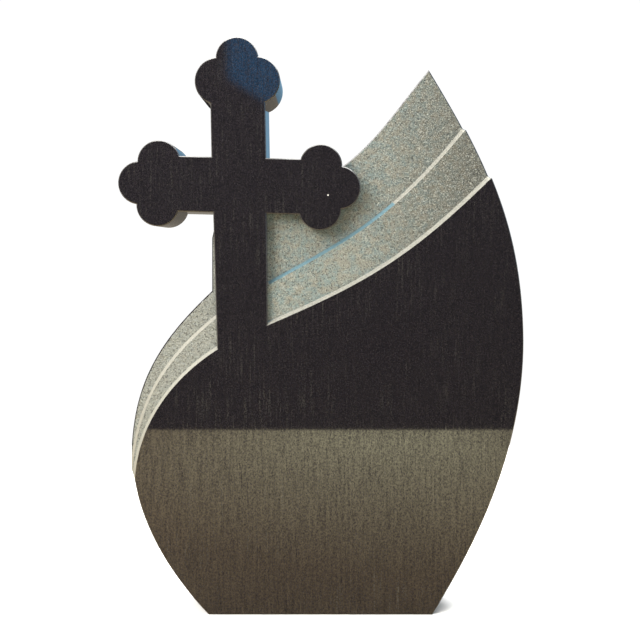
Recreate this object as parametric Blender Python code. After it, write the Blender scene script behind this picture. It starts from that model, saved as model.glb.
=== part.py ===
"""A polished granite headstone carved from one slab.

The slab is a leaning flame with a flat foot. Its upper edge is cut back from the front in two rough
terraces, and a budded cross, flush with the polished face, stands up on the left and overhangs.
X runs to the right, Z up, and the front looks along -Y. The origin is on the ground, midway between the
left arm's end and the slab's belly, in the middle of the thickness.
"""

import math

import bmesh
import bpy
from mathutils import Matrix, Vector
from mathutils.geometry import interpolate_bezier

HEIGHT = 1.200  # foot to the top of the cross
THICKNESS = 0.100
ARRIS = 0.002  # chamfer along the edges of both faces

# Depth of the terraces below the polished face, at the right edge and where they run out at the left
INNER_DEPTH_RIGHT = 0.020
INNER_DEPTH_LEFT = 0.006
OUTER_DEPTH_RIGHT = 0.038
OUTER_DEPTH_LEFT = 0.012
RISER_WIDTH = 0.0065  # how far a riser leans back, seen from the front

# The cross: its widths, and the lean of its shaft and the fall of its arms to the right
HEAD_WIDTH = 0.114
ARM_WIDTH = 0.1155
SHAFT_WIDTH = 0.111
SHAFT_FOOT_WIDTH = 0.105
SHAFT_LEAN = math.radians(1.1)
ARM_FALL = math.radians(1.4)
ARM_REACH = 0.207  # from the crossing to the middle of an arm's end lobe

# The three lobes that end an arm: radii, and the side lobes' place behind the end lobe and beside the axis
ARM_LOBES = {"end_radius": 0.045, "side_radius": 0.0446, "back": 0.0386, "aside": 0.0448}
HEAD_LOBES = {"end_radius": 0.0442, "side_radius": 0.0498, "back": 0.0467, "aside": 0.0389}

# The slab is a free form, so its knots and the pulls between them are shares of HEIGHT, across and up
CROSSING = (-0.1411, 0.7433)
SHAFT_FOOT = 0.4400  # level at which the shaft ends, well inside the slab
FOOT_RIGHT = (0.1928, 0.0000)
FOOT_LEFT = (-0.1941, 0.0000)
BELLY = (0.3509, 0.4738)
TIP = (0.1914, 0.9507)
BEHIND_ARM = (0.0391, 0.7795)
BEHIND_SHAFT = (-0.1250, 0.7017)
LEDGE_TOP = (-0.1860, 0.6740)
LEDGE_SHOULDER = (-0.1908, 0.6520)
LEDGE_FOOT = (-0.1908, 0.5593)
BAND_POINT = (-0.3313, 0.2543)
FACE_POINT = (-0.3216, 0.2283)
RIGHT_BELOW = ((0.2835, 0.1439), (0.3509, 0.3009))
RIGHT_ABOVE = ((0.3493, 0.6692), (0.2920, 0.7885))
TOP_EDGE = ((0.1420, 0.8922), (0.1016, 0.8261))
TOP_HIDDEN = ((-0.0080, 0.7445), (-0.0700, 0.7220))
BAND_EDGE = ((-0.2884, 0.4672), (-0.3322, 0.3917))
LEFT_BELOW = ((-0.3067, 0.1425), (-0.2537, 0.0615))

# Upper edge of the polished face, and the step between the terraces, from the right to the left
FACE_LINE = ((0.2965, 0.7574), (0.1432, 0.6050), (0.0607, 0.5649), (-0.1333, 0.4833))
FACE_LINE_LEFT = ((-0.2347, 0.4385), (-0.3178, 0.3443), (-0.3218, 0.2300))
STEP_LINE = ((0.2537, 0.8420), (0.1217, 0.6793), (0.0440, 0.6435), (-0.1375, 0.5458))
STEP_LINE_LEFT = ((-0.2496, 0.4656), (-0.3114, 0.3948), (-0.3272, 0.2559))
LINE_END_RUN = 0.08  # how far the lines are drawn on past the slab's edges

LOBE_STEP = math.radians(7.5)
LONG_CURVE_POINTS = 30
SHORT_CURVE_POINTS = 10
CUTTER_MARGIN = 0.05  # how far a cutter stands out in front of the polished face
CUTTER_SIDE = 0.6  # where its sides run, clear of the slab, as a share of the height
CUTTER_TOP = 1.2
WELD_DISTANCE = 1e-5


def clear_scene():
    for old in list(bpy.data.objects):
        bpy.data.objects.remove(old, do_unlink=True)


def new_collection(name):
    made = bpy.data.collections.new(name)
    bpy.context.scene.collection.children.link(made)
    return made


def at_share(share):
    """The point in metres of a share of the height."""
    return Vector(share) * HEIGHT


def curve_points(start, pulls, end, count):
    """Points along one cubic from start up to but without end."""
    knots = [at_share(p) for p in (start, *pulls, end)]
    return [p.to_2d() for p in interpolate_bezier(*knots, count)][:-1]


def slab_outline():
    """The flame's closed outline, anticlockwise from the right end of the foot."""
    points = curve_points(FOOT_RIGHT, RIGHT_BELOW, BELLY, LONG_CURVE_POINTS)
    points += curve_points(BELLY, RIGHT_ABOVE, TIP, LONG_CURVE_POINTS)
    points += curve_points(TIP, TOP_EDGE, BEHIND_ARM, LONG_CURVE_POINTS)
    points += curve_points(BEHIND_ARM, TOP_HIDDEN, BEHIND_SHAFT, SHORT_CURVE_POINTS)
    points += [at_share(p) for p in (BEHIND_SHAFT, LEDGE_TOP, LEDGE_SHOULDER)]
    points += curve_points(LEDGE_FOOT, BAND_EDGE, BAND_POINT, LONG_CURVE_POINTS)
    points += [at_share(BAND_POINT)]
    points += curve_points(FACE_POINT, LEFT_BELOW, FOOT_LEFT, LONG_CURVE_POINTS)
    return points + [at_share(FOOT_LEFT)]


def circle_meets_level(middle, radius, level):
    """Where a circle crosses the line v = level, on the side nearer to the crossing."""
    return Vector((middle.x - math.sqrt(radius**2 - (level - middle.y) ** 2), level))


def circles_meet(first, first_radius, second, second_radius, outward):
    """The meeting point of two circles that lies furthest along outward."""
    between = second - first
    apart = between.length
    along = (apart**2 + first_radius**2 - second_radius**2) / (2 * apart)
    off = math.sqrt(first_radius**2 - along**2)
    foot = first + between * (along / apart)
    side = Vector((-between.y, between.x)) * (off / apart)
    return max(foot + side, foot - side, key=lambda p: p.dot(outward))


def arc(middle, start, end):
    """Points from start to end, anticlockwise about middle, without the end."""
    spoke = start - middle
    first = math.atan2(spoke.y, spoke.x)
    last = math.atan2(end.y - middle.y, end.x - middle.x)
    sweep = (last - first) % math.tau
    steps = max(2, math.ceil(sweep / LOBE_STEP))
    turn = sweep / steps
    return [middle + Matrix.Rotation(turn * i, 2) @ spoke for i in range(steps)]


def budded_end(reach, width, lobes):
    """The three lobes that end an arm which runs along +u, from its right edge round to its left one."""
    aside = lobes["aside"]
    side_radius = lobes["side_radius"]
    end_radius = lobes["end_radius"]
    right = Vector((reach - lobes["back"], -aside))
    left = Vector((reach - lobes["back"], aside))
    end = Vector((reach, 0))
    right_neck = circle_meets_level(right, side_radius, -width / 2)
    left_neck = circle_meets_level(left, side_radius, width / 2)
    right_notch = circles_meet(right, side_radius, end, end_radius, Vector((1, -1)))
    left_notch = circles_meet(left, side_radius, end, end_radius, Vector((1, 1)))
    points = arc(right, right_neck, right_notch)
    points += arc(end, right_notch, left_notch)
    points += arc(left, left_notch, left_neck)
    return points + [left_neck]


def lines_meet(point, direction, other_point, other_direction):
    """The crossing of two lines in the plane."""
    cross = direction.x * other_direction.y - direction.y * other_direction.x
    gap = other_point - point
    along = (gap.x * other_direction.y - gap.y * other_direction.x) / cross
    return point + direction * along


def arm_edges(angle, width):
    """The right and left edge of an arm, each as a point and a direction, seen from the crossing."""
    direction = Vector((math.cos(angle), math.sin(angle)))
    across = Vector((-direction.y, direction.x)) * (width / 2)
    return (-across, direction), (across, direction)


def cross_outline():
    """The cross's closed outline, anticlockwise from the corner right of its head."""
    middle = at_share(CROSSING)
    head_reach = (HEIGHT - middle.y - HEAD_LOBES["end_radius"]) / math.cos(SHAFT_LEAN)
    head_angle = math.pi / 2 + SHAFT_LEAN
    left_angle = math.pi - ARM_FALL
    shaft_angle = head_angle + math.pi
    right_angle = -ARM_FALL
    ends = [
        (head_angle, HEAD_WIDTH, budded_end(head_reach, HEAD_WIDTH, HEAD_LOBES)),
        (left_angle, ARM_WIDTH, budded_end(ARM_REACH, ARM_WIDTH, ARM_LOBES)),
        (shaft_angle, SHAFT_WIDTH, shaft_foot(middle)),
        (right_angle, ARM_WIDTH, budded_end(ARM_REACH, ARM_WIDTH, ARM_LOBES)),
    ]
    points = []
    for index, (angle, width, end) in enumerate(ends):
        before_angle, before_width, _ = ends[index - 1]
        left_of_last = arm_edges(before_angle, before_width)[1]
        right_of_this = arm_edges(angle, width)[0]
        points.append(lines_meet(*left_of_last, *right_of_this))
        points += [Matrix.Rotation(angle, 2) @ p for p in end]
    return [middle + p for p in points]


def shaft_foot(middle):
    """The two corners at the bottom of the shaft, which stays inside the slab."""
    length = middle.y - SHAFT_FOOT * HEIGHT
    return [Vector((length, side * SHAFT_FOOT_WIDTH / 2)) for side in (-1, 1)]


def cut_plate(name, outline, thickness, chamfer, collection):
    """A plate of the outline, standing in the XZ plane about Y = 0, with chamfered edges, as a mesh."""
    data = bpy.data.curves.new(name + "_outline", "CURVE")
    data.dimensions = "2D"
    data.fill_mode = "BOTH"
    data.extrude = thickness / 2 - chamfer
    data.bevel_depth = chamfer
    data.bevel_resolution = 0
    data.offset = -chamfer
    spline = data.splines.new("POLY")
    spline.points.add(len(outline) - 1)
    for point, place in zip(spline.points, outline):
        point.co = (place.x, place.y, 0, 1)
    spline.use_cyclic_u = True
    drawn = bpy.data.objects.new(name + "_outline", data)
    drawn.rotation_euler = (math.pi / 2, 0, 0)
    collection.objects.link(drawn)
    bpy.context.view_layer.update()
    evaluated = drawn.evaluated_get(bpy.context.evaluated_depsgraph_get())
    mesh = bpy.data.meshes.new_from_object(evaluated)
    mesh.transform(drawn.matrix_world)
    bpy.data.objects.remove(drawn, do_unlink=True)
    form = bmesh.new()
    form.from_mesh(mesh)
    bmesh.ops.remove_doubles(form, verts=form.verts, dist=WELD_DISTANCE)
    bmesh.ops.recalc_face_normals(form, faces=form.faces)
    form.to_mesh(mesh)
    form.free()
    plate = bpy.data.objects.new(name, mesh)
    collection.objects.link(plate)
    return plate


def drawn_line(first, rest):
    """Points along a line of two cubics, from the right to the left, drawn on past both of the slab's edges."""
    start, pull_1, pull_2, middle = first
    pull_3, pull_4, end = rest
    points = curve_points(start, (pull_1, pull_2), middle, LONG_CURVE_POINTS)
    points += curve_points(middle, (pull_3, pull_4), end, LONG_CURVE_POINTS)
    points.append(at_share(end))
    before = points[0] + (points[0] - points[1]).normalized() * LINE_END_RUN
    after = points[-1] + (points[-1] - points[-2]).normalized() * LINE_END_RUN
    return [before, *points, after]


def moved_aside(line, distance):
    """The line moved to the side of the terraces by the distance."""
    moved = []
    for index, point in enumerate(line):
        ahead = line[min(index + 1, len(line) - 1)]
        behind = line[max(index - 1, 0)]
        along = (ahead - behind).normalized()
        moved.append(point + Vector((along.y, -along.x)) * distance)
    return moved


def terrace_depth(x, right, left):
    """Depth of a terrace, which grows evenly from its point at the left to the slab's right edge."""
    start = BAND_POINT[0] * HEIGHT
    end = FACE_LINE[0][0] * HEIGHT
    return left + (right - left) * (x - start) / (end - start)


def terrace_cutter(name, line, near_depth, deep_depth, collection):
    """A cutter for all above the line, whose wall leans back from the near depth to the deep one."""
    far = CUTTER_SIDE * HEIGHT
    top = CUTTER_TOP * HEIGHT
    corners = [Vector(p) for p in ((-far, line[-1].y), (-far, top), (far, top), (far, line[0].y))]
    front = -THICKNESS / 2
    near_ring = [*line, *corners]
    deep_ring = [*moved_aside(line, RISER_WIDTH), *corners]
    form = bmesh.new()
    rings = [
        [form.verts.new((p.x, front - CUTTER_MARGIN, p.y)) for p in near_ring],
        [form.verts.new((p.x, front + near_depth(p.x), p.y)) for p in near_ring],
        [form.verts.new((p.x, front + deep_depth(p.x), p.y)) for p in deep_ring],
    ]
    form.faces.new(rings[0])
    form.faces.new(rings[2])
    for ring, next_ring in zip(rings, rings[1:]):
        for index in range(len(ring)):
            after = (index + 1) % len(ring)
            form.faces.new((ring[index], ring[after], next_ring[after], next_ring[index]))
    bmesh.ops.recalc_face_normals(form, faces=form.faces)
    mesh = bpy.data.meshes.new(name)
    form.to_mesh(mesh)
    form.free()
    cutter = bpy.data.objects.new(name, mesh)
    cutter.hide_render = True
    cutter.display_type = "WIRE"
    collection.objects.link(cutter)
    return cutter


def add_boolean(target, other, operation):
    modifier = target.modifiers.new(f"{operation.lower()} {other.name}", "BOOLEAN")
    modifier.operation = operation
    modifier.solver = "EXACT"
    modifier.object = other


def granite():
    """Near-black polished granite."""
    material = bpy.data.materials.new("black granite")
    material.use_nodes = True
    shader = material.node_tree.nodes["Principled BSDF"]
    shader.inputs["Base Color"].default_value = (0.026, 0.023, 0.022, 1)
    shader.inputs["Roughness"].default_value = 0.12
    shader.inputs["Metallic"].default_value = 0.0
    return material


def main():
    clear_scene()
    stone_parts = new_collection("headstone")
    cutters = new_collection("cutters")

    headstone = cut_plate("headstone", slab_outline(), THICKNESS, ARRIS, stone_parts)
    cross = cut_plate("cross_plate", cross_outline(), THICKNESS, ARRIS, cutters)
    cross.hide_render = True
    cross.display_type = "WIRE"

    def inner_depth(x):
        return terrace_depth(x, INNER_DEPTH_RIGHT, INNER_DEPTH_LEFT)

    def outer_depth(x):
        return terrace_depth(x, OUTER_DEPTH_RIGHT, OUTER_DEPTH_LEFT)

    face_line = drawn_line(FACE_LINE, FACE_LINE_LEFT)
    step_line = drawn_line(STEP_LINE, STEP_LINE_LEFT)
    inner = terrace_cutter("inner_terrace", face_line, lambda x: 0.0, inner_depth, cutters)
    outer = terrace_cutter("outer_terrace", step_line, inner_depth, outer_depth, cutters)
    add_boolean(headstone, inner, "DIFFERENCE")
    add_boolean(headstone, outer, "DIFFERENCE")
    add_boolean(headstone, cross, "UNION")

    headstone.data.materials.append(granite())


main()
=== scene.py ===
import math

import bmesh
import bpy
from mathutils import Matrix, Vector


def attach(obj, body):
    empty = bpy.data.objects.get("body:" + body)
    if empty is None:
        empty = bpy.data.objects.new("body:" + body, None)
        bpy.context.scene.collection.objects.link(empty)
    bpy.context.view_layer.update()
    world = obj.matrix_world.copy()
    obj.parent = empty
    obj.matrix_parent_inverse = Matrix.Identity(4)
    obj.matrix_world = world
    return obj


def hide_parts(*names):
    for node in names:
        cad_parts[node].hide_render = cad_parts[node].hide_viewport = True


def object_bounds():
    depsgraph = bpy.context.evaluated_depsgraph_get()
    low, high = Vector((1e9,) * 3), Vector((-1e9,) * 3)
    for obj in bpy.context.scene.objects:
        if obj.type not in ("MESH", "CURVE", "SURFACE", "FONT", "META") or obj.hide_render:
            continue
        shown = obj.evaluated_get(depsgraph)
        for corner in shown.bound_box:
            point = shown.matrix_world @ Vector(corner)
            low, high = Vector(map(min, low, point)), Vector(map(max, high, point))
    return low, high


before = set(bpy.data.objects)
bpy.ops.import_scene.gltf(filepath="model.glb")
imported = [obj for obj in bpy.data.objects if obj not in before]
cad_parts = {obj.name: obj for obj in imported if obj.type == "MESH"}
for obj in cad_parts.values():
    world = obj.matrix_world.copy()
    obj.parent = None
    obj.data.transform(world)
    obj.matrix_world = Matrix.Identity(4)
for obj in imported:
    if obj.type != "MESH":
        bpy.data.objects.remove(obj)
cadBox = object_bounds()
height = cadBox[1].z
faceY = cadBox[0].y  # the polished face looks along -Y
thickness = cadBox[1].y - faceY
print("frame loaded")


def linear(hexColour):
    # sRGB hex to the linear values that shaders and lights take
    parts = [int(hexColour[i:i + 2], 16) / 255 for i in (1, 3, 5)]
    return (*[p / 12.92 if p <= 0.04045 else ((p + 0.055) / 1.055) ** 2.4 for p in parts], 1)


def perMetre(millimetres):
    # a texture's scale, from the real size of one of its grains
    return 1000 / millimetres


def setNode(tree, node, settings, links=None):
    # lower-case settings are properties, the others sockets by name or number, and a link comes from a socket
    # or from the first live output of a node
    def socket(name):
        if isinstance(name, int):
            return node.inputs[name]
        return next(s for s in node.inputs if s.name == name and s.enabled)

    for name, value in settings.items():
        if str(name).islower():
            setattr(node, name, value)
    for name, value in settings.items():
        if not str(name).islower():
            socket(name).default_value = value
    for name, source in (links or {}).items():
        if isinstance(source, bpy.types.Node):
            source = next(s for s in source.outputs if s.enabled)
        tree.links.new(source, socket(name))


def addNode(tree, kind, settings, links=None):
    node = tree.nodes.new(kind)
    setNode(tree, node, settings, links)
    return node


def startMaterial(name):
    material = bpy.data.materials.new(name)
    material.use_nodes = True
    tree = material.node_tree
    place = addNode(tree, "ShaderNodeTexCoord", {}).outputs["Object"]
    return material, tree, tree.nodes["Principled BSDF"], place


def mixColours(tree, factor, first, second, amount=1.0):
    # second over first, where factor is 1. Either may be a hex colour or a node
    share = addNode(tree, "ShaderNodeMath", {"operation": "MULTIPLY", 1: amount}, {0: factor})
    settings = {"data_type": "RGBA"}
    links = {"Factor": share}
    for side, colour in (("A", first), ("B", second)):
        if isinstance(colour, str):
            settings[side] = linear(colour)
        else:
            links[side] = colour
    return addNode(tree, "ShaderNodeMix", settings, links)


def noiseBetween(tree, place, size, spread, stretch=None, detail=2.0):
    # noise with grains of that many millimetres, read as 0 where the spread begins and as 1 where it is full.
    # stretch makes the grains longer
    if stretch:
        place = addNode(tree, "ShaderNodeMapping", {"Scale": stretch}, {"Vector": place})
    settings = {"Scale": perMetre(size), "Detail": detail, "Roughness": 0.55}
    noise = addNode(tree, "ShaderNodeTexNoise", settings, {"Vector": place})
    begins, full = spread
    return addNode(tree, "ShaderNodeMapRange", {"From Min": begins, "From Max": full}, {"Value": noise})


def shareAcross(tree, place, places):
    # 0 at the first place across the stone and 1 at the second
    across = addNode(tree, "ShaderNodeSeparateXYZ", {}, {"Vector": place})
    begins, full = places
    return addNode(tree, "ShaderNodeMapRange", {"From Min": begins, "From Max": full}, {"Value": across})


def makeActive(piece):
    if bpy.context.mode != "OBJECT":
        bpy.ops.object.mode_set(mode="OBJECT")
    bpy.ops.object.select_all(action="DESELECT")
    piece.select_set(True)
    bpy.context.view_layer.objects.active = piece


# the view: a lens square on to the stone, a little right of its middle and above it, with the rest left to
# the shift
view = {
    "frameSide": 640,  # px
    "heightInFrame": 578.3,  # px, from the foot to the top of the cross
    "footRow": 615,
    "middleColumn": 320.85,  # the column of the origin
    "lensColumn": 322,  # where the edges that run away from the viewer meet
    "lensRow": 250,
    "distance": 1.329,  # metres from the polished face
    "sensor": 36,  # mm
}


def addCamera():
    metresPerPixel = height / view["heightInFrame"]
    side = view["frameSide"]
    data = bpy.data.cameras.new("camera")
    camera = bpy.data.objects.new("camera", data)
    bpy.context.scene.collection.objects.link(camera)
    across = (view["lensColumn"] - view["middleColumn"]) * metresPerPixel
    up = (view["footRow"] - view["lensRow"]) * metresPerPixel
    camera.location = (across, faceY - view["distance"], up)
    camera.rotation_euler = (math.pi / 2, 0, 0)
    data.sensor_width = view["sensor"]
    data.lens = view["sensor"] * view["distance"] / (side * metresPerPixel)
    data.shift_x = (side / 2 - view["lensColumn"]) / side
    data.shift_y = (view["lensRow"] - side / 2) / side
    data.dof.use_dof = False
    bpy.context.scene.camera = camera


addCamera()
print("camera placed")


# polished black gabbro, sold as black granite. The polish is mirror bright over a near-black stone with a
# fine crystal grain and a few dull grey flecks, and rain has left faint upright streaks of dust.
# Sizes are in mm, and a spread is where in its noise a thing begins and where it is full
polish = {
    "stone": "#171619",
    "crystal": "#282529",
    "crystalSize": 2.6,
    "crystalSpread": (0.40, 0.66),
    "fleck": "#4c4a48",
    "fleckSpacing": 6.0,
    "fleckSpread": (0.20, 0.08),
    "fleckAmount": 0.3,
    "dust": "#565550",
    "dustAmount": 0.6,
    "dustGrain": 3.0,
    "dustSpread": (0.42, 0.64),
    "streakWidth": 4.5,
    "streakRatio": 22,  # how many times longer a streak is than it is wide
    "streakSpread": (0.52, 0.76),
    "streakDetail": 3.0,
    "streakField": 130.0,  # the streaks come in patches of this size
    "fieldSpread": (0.38, 0.66),
    "roughness": 0.04,
    "dustyRoughness": 0.16,
    "ior": 1.6,
}

# the crystals don't all take the same polish, and the streaks dull it in upright lines
gloss = {
    "grainSize": 2.6,  # mm
    "grainSpread": (0.32, 0.68),
    "grainStretch": (1, 1, 0.7),
    "lineWidth": 5.0,
    "lineSpread": (0.3, 0.7),
    "lineStretch": (1, 1, 0.06),
    "lineShare": 0.5,
    "dull": 0.06,
    "bright": 0.94,
}

# a small white chip on the cross's right arm
chip = {
    "place": (0.0148, 0.8715),  # metres across and up
    "radius": 0.0015,
    "edge": (1.3, 0.7),  # it begins and is full at these shares of the radius
    "colour": "#e8e6e0",
}


def dustStreaks(tree, place):
    # upright streaks that are broken up into specks and come in patches
    stretch = (1, 1, 1 / polish["streakRatio"])
    streaks = noiseBetween(tree, place, polish["streakWidth"], polish["streakSpread"], stretch,
                           polish["streakDetail"])
    specks = noiseBetween(tree, place, polish["dustGrain"], polish["dustSpread"])
    field = noiseBetween(tree, place, polish["streakField"], polish["fieldSpread"])
    dotted = addNode(tree, "ShaderNodeMath", {"operation": "MULTIPLY"}, {0: streaks, 1: specks})
    return addNode(tree, "ShaderNodeMath", {"operation": "MULTIPLY"}, {0: dotted, 1: field})


def unevenGloss(tree, place):
    share = gloss["lineShare"]
    grain = noiseBetween(tree, place, gloss["grainSize"], gloss["grainSpread"], gloss["grainStretch"])
    lines = noiseBetween(tree, place, gloss["lineWidth"], gloss["lineSpread"], gloss["lineStretch"],
                         polish["streakDetail"])
    both = addNode(tree, "ShaderNodeMath", {"operation": "MULTIPLY_ADD", 1: share}, {0: lines, 2: grain})
    settings = {"From Max": 1 + share, "To Min": gloss["dull"], "To Max": gloss["bright"]}
    return addNode(tree, "ShaderNodeMapRange", settings, {"Value": both})


def chipSpot(tree, place):
    across, up = chip["place"]
    begins, full = [share * chip["radius"] for share in chip["edge"]]
    settings = {"operation": "DISTANCE", 1: (across, faceY, up)}
    away = addNode(tree, "ShaderNodeVectorMath", settings, {0: place})
    return addNode(tree, "ShaderNodeMapRange", {"From Min": begins, "From Max": full}, {"Value": away})


def polishedGranite():
    material, tree, shader, place = startMaterial("polishedBlackGabbro")
    crystals = noiseBetween(tree, place, polish["crystalSize"], polish["crystalSpread"])
    colour = mixColours(tree, crystals, polish["stone"], polish["crystal"])
    spacing = perMetre(polish["fleckSpacing"])
    cells = addNode(tree, "ShaderNodeTexVoronoi", {"Scale": spacing}, {"Vector": place})
    begins, full = polish["fleckSpread"]
    flecks = addNode(tree, "ShaderNodeMapRange", {"From Min": begins, "From Max": full}, {"Value": cells})
    colour = mixColours(tree, flecks, colour, polish["fleck"], polish["fleckAmount"])
    dust = dustStreaks(tree, place)
    colour = mixColours(tree, dust, colour, polish["dust"], polish["dustAmount"])
    colour = mixColours(tree, chipSpot(tree, place), colour, chip["colour"])
    dullness = {"To Min": polish["roughness"], "To Max": polish["dustyRoughness"]}
    roughness = addNode(tree, "ShaderNodeMapRange", dullness, {"Value": dust})
    setNode(tree, shader, {"IOR": polish["ior"]},
            {"Base Color": colour, "Roughness": roughness, "Specular IOR Level": unevenGloss(tree, place)})
    return material


# the same stone where it is eased off with a hand pad: a touch lighter and not so bright
arris = {
    "stone": "#353331",
    "crystal": "#514f4c",
    "crystalSize": 2.0,  # mm
    "crystalSpread": (0.40, 0.62),
    "roughness": 0.3,
    "ior": 1.6,
}


def easedEdge():
    material, tree, shader, place = startMaterial("easedGabbroArris")
    crystals = noiseBetween(tree, place, arris["crystalSize"], arris["crystalSpread"])
    colour = mixColours(tree, crystals, arris["stone"], arris["crystal"])
    setNode(tree, shader, {"IOR": arris["ior"], "Roughness": arris["roughness"]}, {"Base Color": colour})
    return material


# bush-hammered gabbro: crushed crystals scatter the light, so the black stone turns a dull pale grey that is
# speckled with dark pits and white bruises. It is drawn as coarse as the photograph shows it
hewn = {
    "warm": "#828277",
    "cool": "#738280",
    "blotchSize": 14.0,  # mm
    "blotchSpread": (0.38, 0.62),
    "paintedShadeTip": "#524f46",  # painted shade, darker towards the tip, from the cross's right arm on
    "paintedShadePlaces": (0.05, 0.33),  # metres across
    "paintedShadeAmount": 0.85,
    "paintedLightLeft": "#878983",  # painted light, paler towards the left end
    "paintedLightPlaces": (-0.10, -0.22),
    "paintedLightAmount": 0.85,
    "pit": "#343532",
    "pitSize": 3.2,
    "pitSpread": (0.50, 0.66),
    "pitAmount": 0.8,
    "bruise": "#a5a89f",
    "bruiseSize": 2.6,
    "bruiseSpread": (0.48, 0.34),
    "bruiseAmount": 0.7,
    "gritSize": 1.4,
    "gritSpread": (0.3, 0.7),
    "gritDepth": 0.0006,  # metres
    "gritStrength": 0.6,
    "roughness": 0.85,
}


def hewnGranite():
    material, tree, shader, place = startMaterial("bushHammeredGabbro")
    blotches = noiseBetween(tree, place, hewn["blotchSize"], hewn["blotchSpread"])
    colour = mixColours(tree, blotches, hewn["warm"], hewn["cool"])
    # painted shade: the hewn stone darkens towards the tip
    paintedShade = shareAcross(tree, place, hewn["paintedShadePlaces"])
    colour = mixColours(tree, paintedShade, colour, hewn["paintedShadeTip"], hewn["paintedShadeAmount"])
    # painted light: the hewn stone pales towards the left end
    paintedLight = shareAcross(tree, place, hewn["paintedLightPlaces"])
    colour = mixColours(tree, paintedLight, colour, hewn["paintedLightLeft"], hewn["paintedLightAmount"])
    pits = noiseBetween(tree, place, hewn["pitSize"], hewn["pitSpread"])
    colour = mixColours(tree, pits, colour, hewn["pit"], hewn["pitAmount"])
    bruises = noiseBetween(tree, place, hewn["bruiseSize"], hewn["bruiseSpread"])
    colour = mixColours(tree, bruises, colour, hewn["bruise"], hewn["bruiseAmount"])
    grit = noiseBetween(tree, place, hewn["gritSize"], hewn["gritSpread"])
    relief = {"Strength": hewn["gritStrength"], "Distance": hewn["gritDepth"]}
    bump = addNode(tree, "ShaderNodeBump", relief, {"Height": grit})
    setNode(tree, shader, {"Roughness": hewn["roughness"]}, {"Base Color": colour, "Normal": bump})
    return material


# the bevelled risers between the terraces are sawn and rubbed smooth, so they are paler than the hewn stone
riser = {
    "light": "#8f8e85",
    "dark": "#73726b",
    "paintedSkyLight": "#5b777e",  # the stretch under the cross's arm has a painted blue cast of sky light
    "paintedSkyDark": "#4a656f",
    "grainSize": 4.0,  # mm
    "grainSpread": (0.35, 0.65),
    "paintedLightLeft": "#949389",  # painted light, paler towards the left end
    "paintedLightPlaces": (-0.14, -0.25),  # metres across
    "paintedLightAmount": 0.7,
    "roughness": 0.45,
}


def rubbedRiser(name, light, dark):
    material, tree, shader, place = startMaterial(name)
    grain = noiseBetween(tree, place, riser["grainSize"], riser["grainSpread"])
    colour = mixColours(tree, grain, light, dark)
    # painted light: the riser pales towards the left end
    paintedLight = shareAcross(tree, place, riser["paintedLightPlaces"])
    colour = mixColours(tree, paintedLight, colour, riser["paintedLightLeft"], riser["paintedLightAmount"])
    setNode(tree, shader, {"Roughness": riser["roughness"]}, {"Base Color": colour})
    return material


# the back and the foot are left as the saw cut them: flat, dull and dark grey, with faint ripples of the
# blade
sawn = {
    "stone": "#454341",
    "crystal": "#615f5c",
    "crystalSize": 2.6,  # mm
    "crystalSpread": (0.40, 0.66),
    "rippleSize": 11.0,
    "rippleWander": {"Distortion": 1.5, "Detail": 1.0, "Detail Scale": 0.3},
    "rippleDepth": 0.0005,  # metres
    "rippleStrength": 0.25,
    "roughness": 0.55,
}


def sawnGranite():
    material, tree, shader, place = startMaterial("sawnBlackGabbro")
    crystals = noiseBetween(tree, place, sawn["crystalSize"], sawn["crystalSpread"])
    colour = mixColours(tree, crystals, sawn["stone"], sawn["crystal"])
    bands = {"bands_direction": "Z", "Scale": perMetre(sawn["rippleSize"]) / math.tau, **sawn["rippleWander"]}
    ripples = addNode(tree, "ShaderNodeTexWave", bands, {"Vector": place})
    relief = {"Strength": sawn["rippleStrength"], "Distance": sawn["rippleDepth"]}
    bump = addNode(tree, "ShaderNodeBump", relief, {"Height": ripples})
    setNode(tree, shader, {"Roughness": sawn["roughness"]}, {"Base Color": colour, "Normal": bump})
    return material


# the stone itself, in metres and degrees
stone = {
    "name": "graniteHeadstone",
    "weld": 0.00001,
    "flatAngle": 0.3,  # triangles of the solid flatter to each other than this are one face again
    "level": 0.99,  # a normal with more than this along an axis faces straight along it
    "upright": 0.02,  # and one with less than this along Y belongs to a side
    "arrisDepth": 0.0025,  # a slanted face no deeper than this is an arris
    "rimArris": 0.0025,  # taken off the outer edges of the terraces
    "sliver": 0.00002,  # faces thinner than this are closed up
    "paintedSkyRiser": (-0.110, 0.158),  # the stretch of the step, across, that has a painted blue cast of sky light
    "gridStep": 0.0016,  # between the points that carry the relief
    "lumpSize": 0.011,
    "lumpHeight": 0.0011,
    "pitSize": 0.0042,
    "pitHeight": 0.0013,
    "smoothAngle": 30,
}
finishes = ["polished", "arris", "hewn", "riser", "paintedSkyRiser", "sawn"]
terraceFinishes = ["hewn", "riser", "paintedSkyRiser"]


def finishOf(mesh, face):
    # which finish a face has, from its normal and its place
    facing = face.normal.y
    depths = [mesh.vertices[i].co.y - faceY for i in face.vertices]
    nearFront = max(depths) < stone["arrisDepth"]
    nearBack = min(depths) > thickness - stone["arrisDepth"]
    isFoot = face.normal.z < -stone["level"] and face.center.z < stone["arrisDepth"]
    if facing > stone["level"] or isFoot:
        return "sawn"
    if facing < -stone["level"]:
        return "polished" if nearFront else "hewn"
    if abs(facing) < stone["upright"]:
        return "polished"
    if nearFront or nearBack:
        return "arris"
    # the step riser under the cross's arm takes the painted blue cast of sky light
    low, high = stone["paintedSkyRiser"]
    if min(depths) > stone["arrisDepth"] and low < face.center.x < high:
        return "paintedSkyRiser"
    return "riser"


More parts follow.
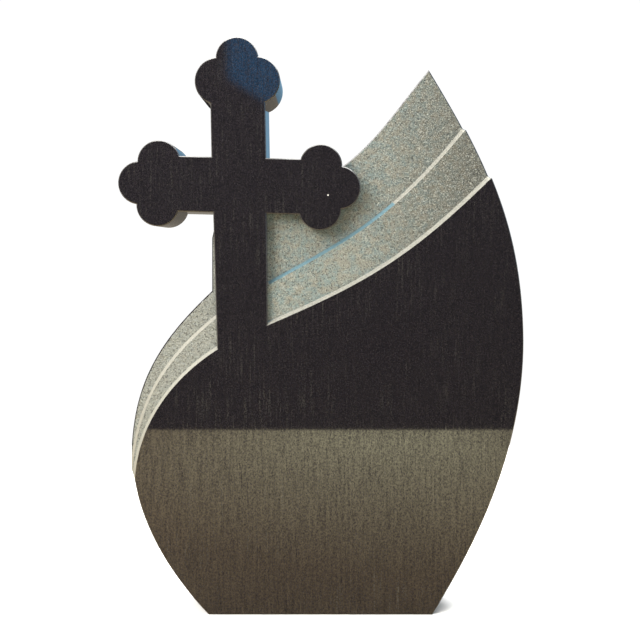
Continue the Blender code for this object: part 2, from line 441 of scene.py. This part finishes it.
def copySolid():
    # the solid's own form, with its triangles joined back into whole faces
    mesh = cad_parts["headstone"].data.copy()
    mesh.materials.clear()
    piece = bpy.data.objects.new(stone["name"], mesh)
    bpy.context.scene.collection.objects.link(piece)
    makeActive(piece)
    bpy.ops.object.mode_set(mode="EDIT")
    bpy.ops.mesh.select_all(action="SELECT")
    bpy.ops.mesh.remove_doubles(threshold=stone["weld"])
    bpy.ops.mesh.dissolve_limited(angle_limit=math.radians(stone["flatAngle"]))
    bpy.ops.object.mode_set(mode="OBJECT")
    bpy.ops.mesh.customdata_custom_splitnormals_clear()
    return piece


def finishFaces(mesh):
    makers = {
        "polished": polishedGranite(),
        "arris": easedEdge(),
        "hewn": hewnGranite(),
        "riser": rubbedRiser("rubbedGabbroRiser", riser["light"], riser["dark"]),
        # the riser with the painted blue cast of sky light
        "paintedSkyRiser": rubbedRiser("rubbedGabbroRiserPaintedSkyLight", riser["paintedSkyLight"], riser["paintedSkyDark"]),
        "sawn": sawnGranite(),
    }
    for finish in finishes:
        mesh.materials.append(makers[finish])
    for face in mesh.polygons:
        face.material_index = finishes.index(finishOf(mesh, face))


def easeRims(mesh):
    # the outer edges of the terraces, between them and the polished side, get a polished arris
    terraces = [finishes.index(name) for name in terraceFinishes]
    polished = finishes.index("polished")
    form = bmesh.new()
    form.from_mesh(mesh)
    sides = {f for f in form.faces if f.material_index == polished and abs(f.normal.y) < stone["upright"]}
    rims = []
    for edge in form.edges:
        onTerrace = any(face.material_index in terraces for face in edge.link_faces)
        onSide = any(face in sides for face in edge.link_faces)
        if edge.is_convex and onTerrace and onSide:
            rims.append(edge)
    bmesh.ops.bevel(form, geom=rims, offset=stone["rimArris"], segments=1, affect="EDGES", material=polished)
    form.to_mesh(mesh)
    form.free()
    print("rims eased", len(rims))


def cutAcross(form, faces, axis, places):
    # bisects the faces at every place along the axis: at the middle one first, then each half on its own
    if not faces or not places:
        return faces
    middle = len(places) // 2
    at = Vector((0, 0, 0))
    at[axis] = places[middle]
    normal = Vector((0, 0, 0))
    normal[axis] = 1
    edges = {e for f in faces for e in f.edges}
    corners = {v for f in faces for v in f.verts}
    made = bmesh.ops.bisect_plane(form, geom=[*faces, *edges, *corners], plane_co=at, plane_no=normal)
    cut = [f for f in made["geom"] if isinstance(f, bmesh.types.BMFace)]
    before = [f for f in cut if f.calc_center_bounds()[axis] < places[middle]]
    after = [f for f in cut if f.calc_center_bounds()[axis] >= places[middle]]
    return cutAcross(form, before, axis, places[:middle]) + cutAcross(form, after, axis, places[middle + 1:])


def cutTerraces(mesh):
    # the terraces and risers get a square grid, one step apart across and up
    terraces = [finishes.index(name) for name in terraceFinishes]
    form = bmesh.new()
    form.from_mesh(mesh)
    faces = [f for f in form.faces if f.material_index in terraces]
    corners = [v.co for f in faces for v in f.verts]
    step = stone["gridStep"]
    for axis in (0, 2):
        low = min(corner[axis] for corner in corners)
        count = math.floor((max(corner[axis] for corner in corners) - low) / step)
        faces = cutAcross(form, faces, axis, [low + (i + 0.5) * step for i in range(count)])
    form.to_mesh(mesh)
    form.free()


def closeSlivers(piece):
    # closes up what the grid has cut too thin, and leaves the hewn faces selected
    bpy.ops.object.mode_set(mode="EDIT")
    bpy.ops.mesh.select_all(action="SELECT")
    bpy.ops.mesh.dissolve_degenerate(threshold=stone["sliver"])
    bpy.ops.mesh.select_mode(type="FACE")
    bpy.ops.mesh.select_all(action="DESELECT")
    piece.active_material_index = finishes.index("hewn")
    bpy.ops.object.material_slot_select()
    bpy.ops.object.mode_set(mode="OBJECT")


def displace(piece, name, kind, size, strength):
    # moves the points of the hewn group in and out along Y
    texture = bpy.data.textures.new(name, kind)
    texture.noise_scale = size
    modifier = piece.modifiers.new(name, "DISPLACE")
    modifier.texture = texture
    modifier.texture_coords = "LOCAL"
    modifier.direction = "Y"
    modifier.strength = strength
    modifier.mid_level = 0.5
    modifier.vertex_group = "hewn"
    makeActive(piece)
    bpy.ops.object.modifier_apply(modifier=modifier.name)


def shadeStone(piece):
    # the curves are smooth, and the flat faces stay flat to their edges
    makeActive(piece)
    bpy.ops.object.shade_smooth_by_angle(angle=math.radians(stone["smoothAngle"]))
    smoothCut = [finishes.index("polished"), finishes.index("sawn")]
    for face in piece.data.polygons:
        if face.material_index in smoothCut and abs(face.normal.y) > stone["level"]:
            face.use_smooth = False


def makeStone():
    piece = copySolid()
    mesh = piece.data
    finishFaces(mesh)
    easeRims(mesh)
    cutTerraces(mesh)
    closeSlivers(piece)
    group = piece.vertex_groups.new(name="hewn")
    group.add([v.index for v in mesh.vertices if v.select], 1, "REPLACE")
    print("terraces cut into", len(mesh.polygons), "faces")
    displace(piece, "hammeredLumps", "CLOUDS", stone["lumpSize"], stone["lumpHeight"])
    displace(piece, "hammeredPits", "VORONOI", stone["pitSize"], stone["pitHeight"])
    shadeStone(piece)
    return piece


headstone = makeStone()
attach(headstone, "root")
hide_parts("headstone")
print("stone made")


# a plain pale floor, which ends under the lens so that the polish mirrors a light lower half and a dark
# upper one
floor = {
    "seen": "#f6f6f4",  # what the lens sees
    "mirroredNear": "#a08b66",  # what the polish mirrors: brown with painted shade at the foot, and a painted pool of light further out
    "mirroredLightPool": "#ede6bd",
    "lightPoolMiddle": (0.30, -1.42),  # metres, across and along
    "lightPoolReach": (0.2, 1.22),  # the painted pool of light is full within the first and gone beyond the second
    "roughness": 0.9,
    "frontReach": 1.368,  # metres in front of the polished face
    "backReach": 1.1,
    "sideReach": 1.5,
}


def addFloor():
    front = faceY - floor["frontReach"]
    bpy.ops.mesh.primitive_plane_add(size=1, location=(0, (front + floor["backReach"]) / 2, 0))
    piece = bpy.context.object
    piece.name = "floor"
    piece.scale = (2 * floor["sideReach"], floor["backReach"] - front, 1)
    bpy.ops.object.transform_apply(location=True, rotation=True, scale=True)
    material, tree, shader, place = startMaterial("paleFloor")
    middle = {"operation": "DISTANCE", 1: (*floor["lightPoolMiddle"], 0)}
    away = addNode(tree, "ShaderNodeVectorMath", middle, {0: place})
    full, gone = floor["lightPoolReach"]
    # painted pool of light on the floor, with painted shade towards the foot, seen only in the polish
    pool = addNode(tree, "ShaderNodeMapRange", {"From Min": gone, "From Max": full}, {"Value": away})
    mirrored = mixColours(tree, pool, floor["mirroredNear"], floor["mirroredLightPool"])
    ray = addNode(tree, "ShaderNodeLightPath", {})
    colour = mixColours(tree, ray.outputs["Is Camera Ray"], mirrored, floor["seen"])
    setNode(tree, shader, {"Roughness": floor["roughness"]}, {"Base Color": colour})
    piece.data.materials.append(material)


# soft boxes: place, what they point at, size in metres, watts and colour
softBoxes = {
    "overhead": ((0.2, 0.3, 3.2), (0.1, 0.1, 0.0), 3.2, 290, "#fffdf8"),
    "upperLeft": ((-2.2, -1.8, 2.6), (0.0, 0.0, 0.7), 2.0, 205, "#fffbf6"),
    "behind": ((0.5, 3.0, 3.7), (0.0, 0.0, 0.6), 1.6, 130, "#fbfcff"),
}


def addSoftBoxes():
    for name, (place, aim, size, watts, colour) in softBoxes.items():
        data = bpy.data.lights.new(name, "AREA")
        data.size = size
        data.energy = watts
        data.color = linear(colour)[:3]
        lamp = bpy.data.objects.new(name, data)
        lamp.location = place
        lamp.rotation_euler = (Vector(aim) - Vector(place)).to_track_quat("-Z", "Y").to_euler()
        bpy.context.scene.collection.objects.link(lamp)


# what the polish mirrors beyond the floor: dark in front of the stone but for a patch of blue sky high up,
# and a pale sky over brown ground behind it. The lens sees plain white all round
surround = {
    "shades": {  # colour and strength
        "white": ("#ffffff", 1.03),
        "fill": ("#f0f3f7", 0.55),
        "dark": ("#2b2726", 0.8),
        "sky": ("#2ca8f4", 1.25),
        "paleSky": ("#86b1ce", 1.0),
        "ground": ("#aea698", 0.8),
    },
    # planes through the stone, by the normal on their far side. The blue sky lies beyond all of the first
    # three, and the pale sky beyond the open side
    "skyPlanes": ((0.63, 0.168, 1.0), (1.0, -0.155, 0.0), (0.0, 0.2, 1.0)),
    "openSide": (1.0, 0.15, 0.0),
    "horizon": (0.0, 0.0, 1.0),
    "back": (0.0, 1.0, 0.0),
    "softness": 0.015,  # of the edges between the shades
}


def addSurround():
    world = bpy.data.worlds.new("surround")
    bpy.context.scene.world = world
    world.use_nodes = True
    tree = world.node_tree
    tree.nodes.clear()
    direction = addNode(tree, "ShaderNodeTexCoord", {}).outputs["Generated"]
    shades = {}
    for name, (colour, strength) in surround["shades"].items():
        settings = {"Color": linear(colour), "Strength": strength}
        shades[name] = addNode(tree, "ShaderNodeBackground", settings)

    def beyond(plane):
        along = addNode(tree, "ShaderNodeVectorMath", {"operation": "DOT_PRODUCT", 1: plane}, {0: direction})
        return addNode(tree, "ShaderNodeMapRange", {"From Max": surround["softness"]}, {"Value": along})

    def mixShades(factor, first, second):
        return addNode(tree, "ShaderNodeMixShader", {}, {0: factor, 1: first, 2: second})

    inSky, *others = [beyond(plane) for plane in surround["skyPlanes"]]
    for part in others:
        inSky = addNode(tree, "ShaderNodeMath", {"operation": "MULTIPLY"}, {0: inSky, 1: part})
    inFront = mixShades(inSky, shades["dark"], shades["sky"])
    behind = mixShades(beyond(surround["openSide"]), shades["dark"], shades["paleSky"])
    behind = mixShades(beyond(surround["horizon"]), shades["ground"], behind)
    mirrored = mixShades(beyond(surround["back"]), inFront, behind)
    ray = addNode(tree, "ShaderNodeLightPath", {})
    lit = mixShades(ray.outputs["Is Glossy Ray"], shades["fill"], mirrored)
    seen = mixShades(ray.outputs["Is Camera Ray"], lit, shades["white"])
    addNode(tree, "ShaderNodeOutputWorld", {}, {"Surface": seen})


addFloor()
addSoftBoxes()
addSurround()
bpy.context.scene.view_settings.view_transform = "Standard"
print("floor, lights and surround made")
